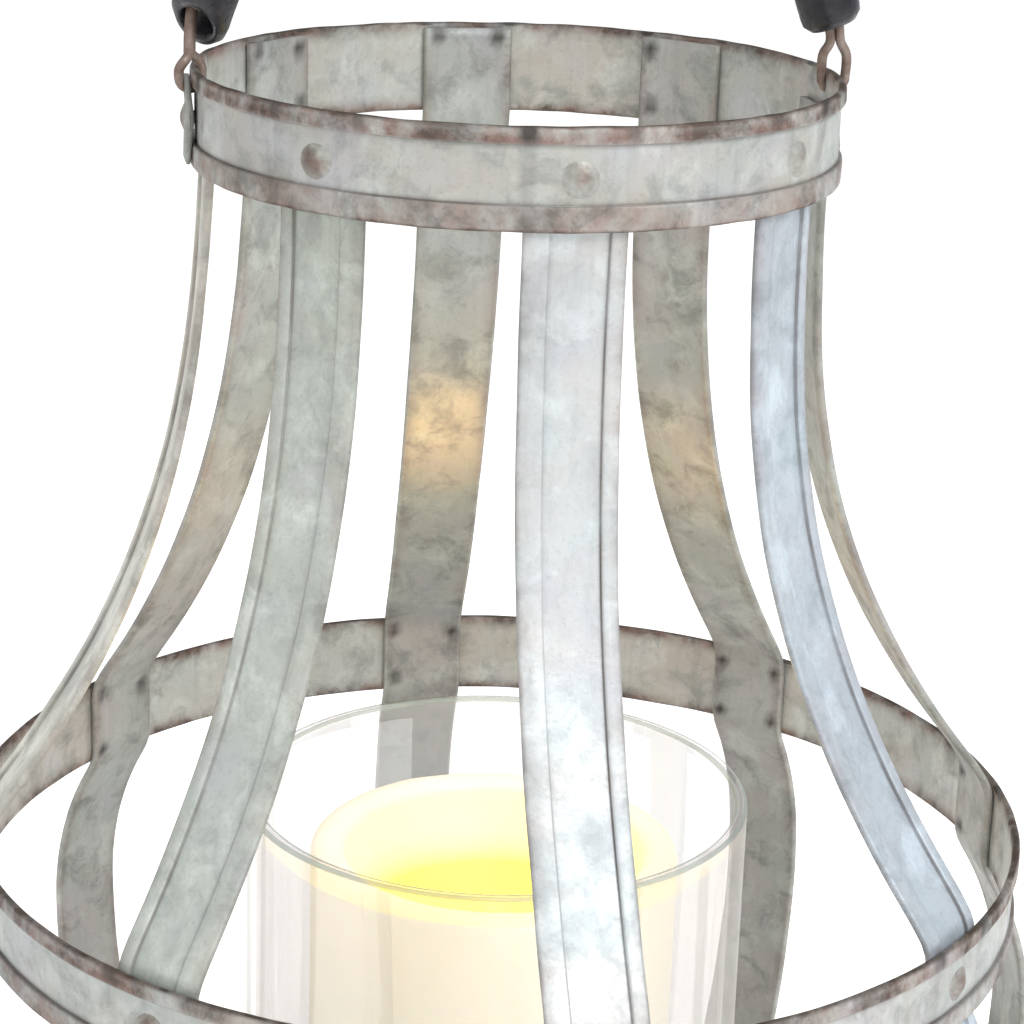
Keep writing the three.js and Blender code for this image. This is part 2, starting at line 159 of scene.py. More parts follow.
def piece(obj, body, slot, *nodes):
    """Ties a finished piece to its body and hides the solids it stands for; slot, its finish, is not
    used.
    """
    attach(obj, body)
    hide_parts(*nodes)
    return obj


# ---- the hemmed strip that every band and slat is made from ----
def strip_section(narrow_side, wide_depth, narrow_edge, wide_edge):
    """Points round the strip as (across, outwards, crevice, edge, inner face or not)."""
    half = STRIP / 2
    bead = HEMMED / 2
    points = []
    for i in range(13):
        t = -1 + 2 * i / 12
        points.append((t * (half - bead), 0.0, 0.0, max(0.0, abs(t) * 4 - 3), 1.0))
    for side in (1, -1):
        hem = HEM_NARROW if side == narrow_side else HEM_WIDE
        depth = 1.0 if side == narrow_side else wide_depth
        flat_edge = narrow_edge if side == narrow_side else wide_edge
        fold = []
        for i in range(1, 8):
            angle = math.pi * i / 8
            across = half - bead + bead * math.sin(angle)
            crest = 1.0 + 0.5 * math.sin(angle) ** 3
            fold.append((across, bead - bead * math.cos(angle), 0.0, crest, 0.0))
        step = half - hem  # where the fold ends, with a crevice under its lip
        fold += [
            (half - bead, HEMMED, 0.0, 0.8, 0.0),
            (half - hem * 0.6, HEMMED * 1.02, 0.0, flat_edge, 0.0),
            (step + 0.45 * MM, HEMMED * 1.03, 0.0, flat_edge, 0.0),
            (step + 0.1 * MM, HEMMED * 0.96, 0.1 * depth, 0.6, 0.0),
            (step, HEMMED * 0.8, 0.7 * depth, 0.5, 0.0),
            (step + 0.15 * MM, SHEET * 1.05, depth, 0.3, 0.0),
            (step - 0.05 * MM, SHEET, depth, 0.2, 0.0),
            (step - 0.35 * MM, SHEET, 0.12 * depth, 0.1, 0.0),
            (step - 0.9 * MM, SHEET, 0.0, 0.0, 0.0),
        ]
        if side == -1:
            fold = [(-point[0], *point[1:]) for point in reversed(fold)]
        points += fold
        if side == 1:
            inner = half - HEM_WIDE - 1.2 * MM
            points += [(inner * t, SHEET, 0.0, 0.0, 0.0) for t in (0.8, 0.4, 0, -0.4, -0.8)]
    return points


def slat_edges(radius):
    """Bearings round a band of the places where an edge of a slat is welded behind it."""
    marks = []
    for i in range(SLATS):
        for side in (1, -1):
            strength = random.uniform(0.4, 1.0)
            marks.append((TAU * i / SLATS + side * STRIP / 2 / radius, strength))
    return marks


def note(values, *numbers):
    """Adds one point's numbers to the strip's values."""
    for key, number in zip(STRIP_VALUES, numbers):
        values[key].append(number)


def burnt(marks, radius, angle, across):
    """How dark the band is here: a spot on its rim and a faint smudge below, at each mark."""
    dark = 0.0
    above = across - STRIP / 2 + HEM_NARROW * 0.35
    for bearing, strength in marks:
        away = radius * math.remainder(angle - bearing, TAU)
        spot = math.exp(-(away**2 + above**2) / WELD_R**2)
        smudge = 0.3 * math.exp(-((away / (2 * MM)) ** 2))
        dark += strength * (spot + smudge)
    return min(1.0, dark)


def band(name, node, slot, outer_r, top_z, material, seed):
    """A strip rolled into a ring, slightly out of true as hand-rolled metal is."""
    section = strip_section(narrow_side=1, wide_depth=1.0, narrow_edge=1.0, wide_edge=0.7)
    middle_z = top_z - STRIP / 2
    turns = 320
    marks = slat_edges(outer_r)
    rings = []
    values = {key: [] for key in STRIP_VALUES}
    for i in range(turns):
        angle = TAU * i / turns
        around = Vector((math.cos(angle), math.sin(angle), 0))
        sway = noise.noise(around * 1.7 + Vector((seed, 0, 0)))
        lift = noise.noise(around * 2.3 + Vector((0, seed, 0)))
        ring = []
        for across, out, dark, rim, inside in section:
            dent = noise.noise(around * 14 + Vector((across / MM * 0.25, 0, seed)))
            wave = noise.noise(around * 9 + Vector((seed, seed, across / MM * 0.1)))
            keep_hem = 1.0 if rim > 0.3 or dark > 0 else 0.5
            r = outer_r - HEMMED + out + DENT * dent * keep_hem + WAVE * sway
            place = around * r
            place.z = middle_z + across + DENT * lift + WAVE * wave * rim
            ring.append(place)
            note(values, dark, rim, inside, burnt(marks, outer_r, angle, across) * (1 - inside))
        rings.append(ring)
    verts, faces = skin(rings, closed=True)
    obj = make_object(name, verts, faces, material, values)
    return piece(obj, "cage", slot, node)


# ---- slats ----
def arc_radius(climb, across):
    """Radius of an arc that starts upright and moves this far across over this climb."""
    return (climb**2 + across**2) / (2 * across)


def slat_profile(top_end):
    """The inner face of a slat from its top end to its foot, as (radius, height)."""
    top_r = TOP_R - 2 * HEMMED - SNUG
    middle_r = MIDDLE_R - 2 * HEMMED - SNUG
    base_r = BASE_R - 2 * HEMMED - SNUG
    belly_r = BELLY_R - HEMMED
    middle_top = MIDDLE_HI.z
    middle_bottom = middle_top - STRIP
    flare_z = RIM_Z - STRIP
    points = [(top_r, top_end + (flare_z - top_end) * i / 12) for i in range(12)]
    for i in range(41):
        t = i / 40
        across = top_r + (middle_r - top_r) * t**FLARE_POWER
        points.append((across, flare_z - (flare_z - middle_top) * t))
    points += [(middle_r, middle_top - STRIP * i / 10) for i in range(1, 10)]
    rise = middle_bottom - BELLY_Z
    bulge_r = arc_radius(rise, belly_r - middle_r)
    for i in range(19):
        up = rise * (1 - i / 18)
        points.append((belly_r - bulge_r + math.sqrt(bulge_r**2 - up**2), BELLY_Z + up))
    drop = BELLY_Z - STRIP
    foot_r = arc_radius(drop, belly_r - base_r)
    for i in range(1, 31):
        fall = drop * i / 30
        points.append((belly_r - foot_r + math.sqrt(foot_r**2 - fall**2), BELLY_Z - fall))
    points += [(base_r, STRIP * (1 - i / 10)) for i in range(1, 10)]
    points.append((base_r, 0.35 * MM))
    return points


def resample(points, spacing):
    """The same line with its corners eased and its points evenly spaced."""
    line = [Vector(p) for p in points]
    for _ in range(2):
        eased = [line[0]]
        for a, b, c in zip(line, line[1:], line[2:]):
            eased.append((a + b * 2 + c) / 4)
        line = eased + [line[-1]]
    made = [line[0]]
    left = spacing
    for a, b in zip(line, line[1:]):
        length = (b - a).length
        done = 0.0
        while length - done >= left:
            done += left
            made.append(a.lerp(b, done / length))
            left = spacing
        left -= length - done
    if (made[-1] - line[-1]).length > spacing * 0.3:
        made.append(line[-1])
    return made


def slat_bow(z):
    """How far a slat takes up the bands' curve at a height: fully at a band, less between."""
    strength = LEAST_BOW
    for band_z in (RIM_Z, MIDDLE_HI.z, STRIP):
        away = abs(z - (band_z - STRIP / 2)) - STRIP / 2
        strength = max(strength, 1 - (1 - LEAST_BOW) * min(1, max(0, away) / UNBOW))
    return strength


def neck_bend(z):
    """0 at the top and middle bands, 1 half way between them."""
    t = (z - MIDDLE_HI.z) / (RIM_Z - STRIP - MIDDLE_HI.z)
    return math.sin(math.pi * min(1, max(0, t)))


def weld_spots():
    """Places (across, height) where a slat is spot welded to its bands, near the corners."""
    spots = []
    for band_z in (RIM_Z, MIDDLE_HI.z, STRIP):
        for side in (1, -1):
            for up in (1, -1):
                if random.random() < 0.7:
                    across = side * (6.6 * MM + random.uniform(-0.5, 0.5) * MM)
                    spots.append((across, band_z - STRIP / 2 + up * random.uniform(5.2, 7.2) * MM))
    return spots


def near_weld(welds, across, z):
    """1 on a weld, fading to 0 round it."""
    spots = [math.exp(-((across - a) ** 2 + (z - up) ** 2) / WELD_R**2) for a, up in welds]
    return min(1.0, sum(spots))


def slat(index, top_end, narrow_side, material):
    """A hemmed strip bent to its profile; it is dented, and twists a little between the bands."""
    section = strip_section(narrow_side, wide_depth=0.35, narrow_edge=0.3, wide_edge=0.3)
    angle = TAU * index / SLATS
    turn = Matrix.Rotation(angle, 3, "Z")
    line = resample(slat_profile(top_end), 2.1 * MM)
    seed = Vector((index * 3.7, index * 1.9, 0))
    welds = weld_spots()
    rings = []
    values = {key: [] for key in STRIP_VALUES}
    for i, point in enumerate(line):
        before = line[max(i - 1, 0)]
        after = line[min(i + 1, len(line) - 1)]
        along = (after - before).normalized()
        outward = Vector((-along.y, along.x))
        bow_r = point.x / slat_bow(point.y)
        free = 1 - max(0.0, (slat_bow(point.y) - LEAST_BOW) / (1 - LEAST_BOW))
        sway = 0.35 * MM * noise.noise(seed + Vector((0, 0, point.y * 14))) * free
        push = SIDE_BEND * STIFF.get(index, 1) * neck_bend(point.y)
        lean_over = Vector((-push, 0, 0))
        twist = 0.012 * noise.noise(seed + Vector((5, 0, point.y * 11))) * free
        ring = []
        for across, out, dark, rim, inside in section:
            dent = noise.noise(seed + Vector((across * 90, 3, point.y * 70)))
            lift = out + DENT * dent * (0.4 + 0.6 * free) + across * twist
            ripple = noise.noise(seed + Vector((9, across * 40, point.y * 60)))
            wavy = across + DENT * rim * ripple
            lean = wavy / bow_r
            reach = bow_r * (math.cos(lean) - 1)
            x = point.x + outward.x * lift * math.cos(lean) + reach
            y = (bow_r + lift) * math.sin(lean) + sway
            ring.append(turn @ Vector((x, y, point.y + outward.y * lift)) + lean_over)
            note(values, dark, rim, inside, near_weld(welds, across, point.y))
        rings.append(ring)
    verts, faces = skin(rings)
    obj = make_object(f"slat_skin_{index + 1}", verts, faces, material, values)
    return piece(obj, "cage", "galvanised_slat", f"slat_{index + 1}")


# ---- rivets ----
HEAD_R = 4.6 * MM
HEAD_RISE = 1.5 * MM
HEAD_SINK = 0.3 * MM  # a head bites this far into its strip
SHANK_R = 1.25 * MM


def rivet(row, index, band_r, middle_z, inner_r, lifted, material):
    """A hand-set dome, a little out of round, on a shank that ends inside the slat."""
    head_r = HEAD_R * random.uniform(0.94, 1.06)
    head_h = HEAD_RISE * random.uniform(0.85, 1.05)
    seat = band_r + lifted - HEAD_SINK
    tail_x = inner_r + SHEET / 2
    outline = [(tail_x, SHANK_R, 0), (seat, SHANK_R, 0), (seat, head_r * 0.9, 0)]
    for i in range(14):
        t = i / 13
        rise = (1 - math.cos(t * math.pi)) / 2
        outline.append((seat + 0.02 * MM + head_h * rise, head_r * (1 - t) + 0.1 * MM * t, t))
    turn = Matrix.Rotation(TAU * index / SLATS, 3, "Z")
    seed = Vector((index * 2.1, len(row), band_r * 50))
    rings, crown = [], []
    for x, r, t in outline:
        ring = []
        crown += [t] * 20
        for i in range(20):
            angle = TAU * i / 20
            bump = 1 + 0.06 * noise.noise(seed + Vector((math.cos(angle), math.sin(angle), x * 400)))
            place = Vector((x, r * bump * math.cos(angle), r * bump * math.sin(angle)))
            ring.append(turn @ place + Vector((0, 0, middle_z)))
        rings.append(ring)
    verts, faces = skin(rings)
    obj = make_object(f"rivet_head_{row}_{index + 1}", verts, faces, material, {"crown": crown})
    return piece(obj, "cage", "rivet", f"rivet_{row}_{index + 1}")


# ---- ears ----
EAR_DIP = 0.55 * MM  # an ear is pressed in this far between the hems of the band
EAR_HUG = 0.25 * MM  # and sits this much closer to the band than its solid does
EAR_TRIM = 1.1 * MM  # its top is this much lower
EAR_HOLE_R = 1.95 * MM
DIP_HALF = 3.6 * MM  # half the height of the place that is pressed in


def ear_outline(half, up, down, turns=48):
    """An ear's rim and hole seen face on, as points round the hole's middle."""
    rim, hole = [], []
    fade = 6 * MM  # going down, the sides come back to the hole's height over this distance
    for i in range(turns):
        angle = TAU * i / turns
        c, s = math.cos(angle), math.sin(angle)
        if s >= 0:
            point = Vector((half * c, up + half * s))
        else:
            stretch = min(half / max(abs(c), 1e-6), down / abs(s))
            point = Vector((stretch * c, stretch * s))
            point.y += up * (1 + max(-1, point.y / fade))
        rim.append(point)
        hole.append(Vector((EAR_HOLE_R * c, EAR_HOLE_R * s)))
    return rim, hole


def ear(side, node, material):
    """A strap with a round top and a hole, bent to the band's curve and into its web."""
    low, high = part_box(node)
    half = (high.y - low.y) / 2
    thick = high.x - low.x
    inner = min(abs(low.x), abs(high.x))
    rim, hole = ear_outline(half, high.z - EAR_TRIM - half - PIVOT_Z, PIVOT_Z - low.z)
    soft = 0.2 * MM
    wider = 1 + soft / EAR_HOLE_R
    narrower = 1 - soft / half
    section = [(hole, wider, 0), (rim, narrower, 0), (rim, 1, soft), (rim, 1, thick - soft)]
    section += [(rim, narrower, thick), (hole, wider, thick), (hole, 1, thick - soft), (hole, 1, soft)]
    web_z = RIM_Z - STRIP / 2 - PIVOT_Z
    rings = []
    for points, scale, out in section:
        ring = []
        for p in points:
            x, up = p * scale
            dip = EAR_DIP * math.exp(-(((up - web_z) / DIP_HALF) ** 2))
            lean = x / inner
            r = inner + out - EAR_HUG - dip
            ring.append(Vector((side * r * math.cos(lean), side * r * math.sin(lean), PIVOT_Z + up)))
        rings.append(ring)
    verts, faces = skin(rings, closed=True)
    obj = make_object(f"{node}_strap", verts, faces, material)
    return piece(obj, "cage", "ear", node)


# ---- handle ----
LEAN = math.radians(5)  # forwards, at rest
TILT = math.radians(1.25)  # down on the left
LEG_SLOPE = math.radians(20)  # the straight legs lean in, and an arc joins them
LEG_LENGTH = 16 * MM
LOOP_HEIGHT = 9.6 * MM  # from the hinge line up to the foot of a leg
LOOP_HALF = 2.35 * MM  # half the width of a loop
LOOP_WIRE = 0.95 * MM  # radius of its wire
EAR_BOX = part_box("ear_right")
PIVOT_X = (TOP_R - HEMMED + EAR_BOX[1].x) / 2
SLEEVE_R = 5.85 * MM
SLEEVE_BORE = 3.45 * MM
SLEEVE_EASE = 3.4 * MM  # length over which an end of the sleeve is rounded off
SLEEVE_RIGHT = 1.0 * MM  # it starts this far up the right leg
SLEEVE_LEFT = -1.4 * MM  # and ends this far up the left one, so just past its foot
RIGHT_CUT = 1.5 * MM  # depth of the slant at each end
LEFT_CUT = 11 * MM
BAR_START = 7 * MM  # the bar's ends are this far up the legs, hidden in the sleeve
BAR_R = 2.6 * MM


def lean_forward(point):
    """From the upright handle's own frame to its place, leaning over the hinge line."""
    place = Matrix.Rotation(LEAN, 3, "X") @ point
    return place + Vector((0, 0, PIVOT_Z))


def tilted(point):
    """The handle hangs a little lower on the left."""
    return Matrix.Rotation(-TILT, 3, "Y") @ point


def arch_line(start, end=None, steps=110):
    """Centre line of the arched bar between two places, in the handle's own frame."""
    end = start if end is None else end
    foot = Vector((PIVOT_X, LOOP_HEIGHT))
    along = Vector((-math.sin(LEG_SLOPE), math.cos(LEG_SLOPE)))
    leg_end = foot + along * LEG_LENGTH
    radius = leg_end.x / math.cos(LEG_SLOPE)
    centre = leg_end.y - radius * math.sin(LEG_SLOPE)
    bend = radius * (math.pi - 2 * LEG_SLOPE)
    leg = LEG_LENGTH - start
    total = leg + bend + LEG_LENGTH - end
    points = []
    for i in range(steps + 1):
        s = total * i / steps
        if s < leg:
            flat = foot + along * (start + s)
        elif s > leg + bend:
            flat = foot + along * (end + total - s)
            flat.x = -flat.x
        else:
            angle = LEG_SLOPE + (s - leg) / radius
            flat = Vector((radius * math.cos(angle), centre + radius * math.sin(angle)))
        points.append(tilted(Vector((flat.x, 0, flat.y))))
    return points


def tube_rings(line, radii, sides, normal=Vector((0, 1, 0)), bump=None):
    """Round sections along a line that lies square to normal."""
    rings = []
    for i, point in enumerate(line):
        along = (line[min(i + 1, len(line) - 1)] - line[max(i - 1, 0)]).normalized()
        across = along.cross(normal).normalized()
        ring = []
        for j in range(sides):
            angle = TAU * j / sides
            radius = radii[i] + (bump(i, angle) if bump else 0)
            spoke = across * (radius * math.cos(angle)) + normal * (radius * math.sin(angle))
            ring.append(point + spoke)
        rings.append(ring)
    return rings


def slanted(rings, line, far, cut, facing, from_start):
    """Slides the rings along the line so that the mouth at one end opens towards facing."""
    reach = 2.2 * cut + SLEEVE_EASE
    for i, ring in enumerate(rings):
        away = far[i] if from_start else far[-1] - far[i]
        if away >= reach:
            continue
        step = 1 if from_start else -1
        inwards = (line[i + step] - line[i]).normalized()
        for point in ring:
            front = max(0.0, 0.5 + (point - line[i]).dot(facing) / SLEEVE_R / 2)
            point += inwards * (cut * front * (1 - away / reach))


def sleeve(material):
    """A hollow black sleeve; its right end is cut nearly square, its left end at a slant."""
    line = arch_line(SLEEVE_RIGHT, SLEEVE_LEFT)
    wall = 1.0 * MM
    far = [0.0]
    for a, b in zip(line, line[1:]):
        far.append(far[-1] + (b - a).length)
    inset = [min(1, min(s, far[-1] - s) / SLEEVE_EASE) for s in far]
    swell = SLEEVE_R - SLEEVE_BORE - wall
    outer = [SLEEVE_BORE + wall + swell * math.sqrt(1 - (1 - t) ** 2) for t in inset]

    def grain(i, angle):
        seam = 0.16 * MM * math.exp(-(((math.cos(angle) + 1) / 0.01) ** 2))
        soft = noise.noise(line[i] * 260 + Vector((math.cos(angle), math.sin(angle), 0)) * 1.2)
        return 0.09 * MM * soft - seam

    shell = tube_rings(line, outer, 40, bump=grain)
    bore = tube_rings(line, [SLEEVE_BORE] * len(line), 40)
    for rings in (shell, bore):
        slanted(rings, line, far, RIGHT_CUT, Vector((0, -1, 0)), True)
        slanted(rings, line, far, LEFT_CUT, Vector((-0.45, -0.89, 0)), False)
    verts, faces = skin(shell + list(reversed(bore)), closed=True)
    verts = [lean_forward(v) for v in verts]
    obj = make_object("sleeve_skin", verts, faces, material)
    return piece(obj, "handle", "black_sleeve", "handle_sleeve")


def smooth_line(points, per_span=6):
    """A Catmull-Rom line through the points."""
    padded = [points[0] * 2 - points[1], *points, points[-1] * 2 - points[-2]]
    made = []
    for a, b, c, d in zip(padded, padded[1:], padded[2:], padded[3:]):
        for k in range(per_span):
            t = k / per_span
            made.append(
                0.5 * ((b * 2) + (c - a) * t + (a * 2 - b * 5 + c * 4 - d) * t * t
                       + (b * 3 - a - c * 3 + d) * t ** 3)
            )
    made.append(points[-1])
    return made


def loop_line(side):
    """A loop's wire: down from the bar, round through the hole under the rim, and up again."""
    foot = tilted(Vector((side * PIVOT_X, 0, LOOP_HEIGHT)))
    reach = abs(foot.x)
    neck = 1.0 * MM  # half of the gap between the wires above the loop
    # along the neck: how far outwards of the foot, how far above it, and the gap's share
    steps = ((-2.6 * MM, 7.5 * MM, 0.8), (-0.7 * MM, 2.0 * MM, 1.0), (0.0, -1.6 * MM, 1.0))

    def leg(way):
        """One of the two wires, from inside the sleeve to the side of the hole."""
        points = []
        for outwards, above, gap in steps:
            points.append(Vector((reach + outwards + way * neck * gap, 0, foot.z + above)))
        middle = (PIVOT_X + reach) / 2 + way * LOOP_HALF
        points.append(Vector((middle, 0, foot.z * 0.6)))
        for i in range(4, 0, -1):
            turn = i * math.pi / 8
            across = way * LOOP_HALF * math.sin(turn)
            points.append(Vector((PIVOT_X + across, 0, LOOP_HALF * (1 - math.cos(turn)))))
        return points

    def twisted(p):
        """The left loop hangs crooked: it turns nearly edge on between the rim and its neck."""
        if side > 0:
            return p
        share = min(1, max(0, (p.z - 3.4 * MM) / (3.2 * MM)))
        turn = Matrix.Rotation(math.radians(25 + 50 * share), 3, "Z")
        axis = Vector((-PIVOT_X - (reach - PIVOT_X) * min(1, p.z / foot.z), 0, 0))
        return turn @ (p - axis) + axis

    line = smooth_line([*leg(1), Vector((PIVOT_X, 0, 0)), *reversed(leg(-1))])
    return [twisted(Vector((p.x * side, p.y, p.z))) for p in line]


def bar_and_loops(material):
    """The bar inside the sleeve and the wire loop at each end."""

    def rough(i, angle):
        return 0.05 * MM * noise.noise(Vector((i * 0.35, math.cos(angle), math.sin(angle))))

    line = arch_line(BAR_START)
    verts, faces = skin(tube_rings(line, [BAR_R] * len(line), 16, bump=rough))
    verts = [lean_forward(v) for v in verts]
    bar = make_object("handle_bar", verts, faces, material)
    piece(bar, "handle", "rusty_wire", "handle_wire")
    for side, word in ((1, "right"), (-1, "left")):
        line = loop_line(side)
        verts, faces = skin(tube_rings(line, [LOOP_WIRE] * len(line), 14, bump=rough))
        verts = [lean_forward(v) for v in verts]
        loop = make_object(f"handle_loop_{word}", verts, faces, material)
        piece(loop, "handle", "rusty_wire", "handle_wire")


# ---- base plate, glass and candle ----
def base_plate(material):
    """A shallow pan; a ring pressed into its floor keeps the glass in the middle."""
    low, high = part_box("base_plate")
    outside = high.x - 0.3 * MM
    inside = outside - SHEET
    floor = 1.0 * MM
    eye = 0.5 * MM  # the outline stops this short of the axis
    ring_in = CHIMNEY_HI.x + 1.0 * MM
    ring_out = ring_in + 2.6 * MM
    ring_slope = 0.6 * MM
    ring_z = floor + 2.4 * MM
    outline = [(eye, low.z), (outside, low.z), (outside, high.z), (inside, high.z)]
    outline += [(inside, floor), (ring_out, floor), (ring_out - ring_slope, ring_z)]
    outline += [(ring_in + ring_slope, ring_z), (ring_in, floor), (eye, floor)]
    profile = rounded(outline, 0.5 * MM, 3)

    def dish(angle, r, z):
        around = Vector((math.cos(angle), math.sin(angle), 0)) * (r * 30)
        if z > 0.5 * MM and r < outside - 3 * MM:
            return (0, 0.12 * MM * noise.noise(around))
        return (0, 0)

    obj = lathe("pan", profile, 192, material, wobble=dish)
    return piece(obj, "cage", "galvanised_plate", "base_plate")


def chimney(material):
    """An open glass cylinder with rounded rims, whose upper rim is marked for its material."""
    wall = 2.6 * MM
    outside = CHIMNEY_HI.x - 0.1 * MM
    inside = outside - wall
    low, high = CHIMNEY_LO.z, CHIMNEY_HI.z
    outline = [(inside, low), (outside, low), (outside, high), (inside, high)]
    profile = rounded(outline, 1.25 * MM, 8)
    turns = 192
    edge = []
    for _ in range(turns):
        for r, z in profile:
            corner = abs(abs(r - (inside + outside) / 2) - wall * 0.36) < 0.3 * MM
            edge.append(1.0 if z > high - 1.2 * MM and corner else 0.0)
    obj = lathe("glass_cylinder", profile, turns, material, values={"edge": edge})
    return piece(obj, "chimney", "glass", "glass_chimney")


def wax(material):
    """A hollow pillar with a melted bowl in its top, over the candle's plastic core."""
    radius = WAX_HI.x - 0.1 * MM
    top = WAX_HI.z
    low = WAX_LO.z
    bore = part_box("candle_core")[1].x + 0.5 * MM
    lip = 7 * MM  # thickness of the rounded lip round the bowl
    lip_rise = 2.4 * MM
    foot = 0.8 * MM  # bevel round the foot
    lip_z = top - lip_rise
    bowl_depth = 21 * MM
    bowl_floor_r = 16 * MM
    bowl = top - 24 * MM
    lamp_hole = 5.5 * MM
    inner = radius - lip
    outline = [(bore, low), (radius - foot, low), (radius, low + foot)]
    for i in range(24):
        outline.append((radius, low + foot + (lip_z - low - foot) * (i + 1) / 24))
    for i in range(1, 9):
        angle = math.pi * i / 8
        across = radius - lip / 2 + lip / 2 * math.cos(angle)
        outline.append((across, lip_z + lip_rise * math.sin(angle)))
    for i in range(1, 13):
        t = i / 12
        outline.append((inner - (inner - bowl_floor_r) * t**2.4, lip_z - bowl_depth * t**0.8))
    outline += [(lamp_hole + 1 * MM, bowl), (lamp_hole, bowl - 0.6 * MM)]
    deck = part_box("battery_1")[1].z + 24 * MM  # the bore narrows from here to the lamp's hole
    outline += [(lamp_hole, deck + 20 * MM), (bore, deck)]
    soft_depth = 30 * MM  # the wax has slumped this far down from the top

    def melt(angle, r, z):
        high = max(0.0, (z - (top - soft_depth)) / soft_depth)
        around = Vector((math.cos(angle), math.sin(angle), z * 40))
        soft = noise.noise(around * 1.6) * 0.9 + noise.noise(around * 4.1) * 0.35
        inside = 1.0 if r < radius - 0.3 * MM and z > deck + 25 * MM else 0.25
        return (0.35 * MM * soft * inside, 0.5 * MM * soft * high * (1.0 if r > 8 * MM else 0))

    obj = lathe("wax_shell", outline, 128, material, wobble=melt)
    return piece(obj, "candle", "wax", "candle_wax")


# ---- materials ----
class Shader:
    """A short hand for building one material's nodes."""

    def __init__(self, name):
        self.material = bpy.data.materials.new(name)
        self.material.use_nodes = True
        self.tree = self.material.node_tree
        self.surface = self.tree.nodes["Principled BSDF"]
        self.output = self.tree.nodes["Material Output"]

    def node(self, kind, inputs=None, **settings):
        made = self.tree.nodes.new(kind)
        for key, value in settings.items():
            setattr(made, key, value)
        for key, value in (inputs or {}).items():
            self.put(made.inputs[key], value)
        return made

    def put(self, socket, value):
        """Sets a socket to a constant, or links another node's output to it."""
        if isinstance(value, bpy.types.NodeSocket):
            self.tree.links.new(value, socket)
        else:
            socket.default_value = value

    def set(self, **inputs):
        for key, value in inputs.items():
            self.put(self.surface.inputs[key.replace("_", " ")], value)

    def place(self):
        return self.node("ShaderNodeTexCoord").outputs["Object"]

    def noise(self, scale, detail=4, rough=0.55, distort=0.0, vector=None):
        inputs = {"Scale": scale, "Detail": detail, "Roughness": rough, "Distortion": distort}
        inputs["Vector"] = vector or self.place()
        return self.node("ShaderNodeTexNoise", inputs).outputs["Fac"]

    def cells(self, scale, vector=None):
        inputs = {"Scale": scale, "Vector": vector or self.place()}
        return self.node("ShaderNodeTexVoronoi", inputs).outputs["Color"]

    def ramp(self, fac, low, high, from_value=0.0, to_value=1.0):
        inputs = {"Value": fac, "From Min": low, "From Max": high}
        inputs |= {"To Min": from_value, "To Max": to_value}
        return self.node("ShaderNodeMapRange", inputs).outputs["Result"]

    def mix(self, fac, a, b, blend="MIX"):
        made = self.node("ShaderNodeMix", data_type="RGBA", blend_type=blend)
        self.put(made.inputs["Factor"], fac)
        for socket, value in ((made.inputs[6], a), (made.inputs[7], b)):
            self.put(socket, (*value, 1) if isinstance(value, tuple) else value)
        return made.outputs[2]

    def math(self, operation, a, b=0.0):
        made = self.node("ShaderNodeMath", operation=operation)
        self.put(made.inputs[0], a)
        self.put(made.inputs[1], b)
        return made.outputs[0]

    def attribute(self, name):
        return self.node("ShaderNodeAttribute", attribute_name=name).outputs["Fac"]

    def bump(self, height, distance, strength=1.0, normal=None):
        inputs = {"Height": height, "Distance": distance, "Strength": strength}
        if normal:
            inputs["Normal"] = normal
        return self.node("ShaderNodeBump", inputs).outputs["Normal"]


def scaled(colour, factor):
    return tuple(c * factor for c in colour)


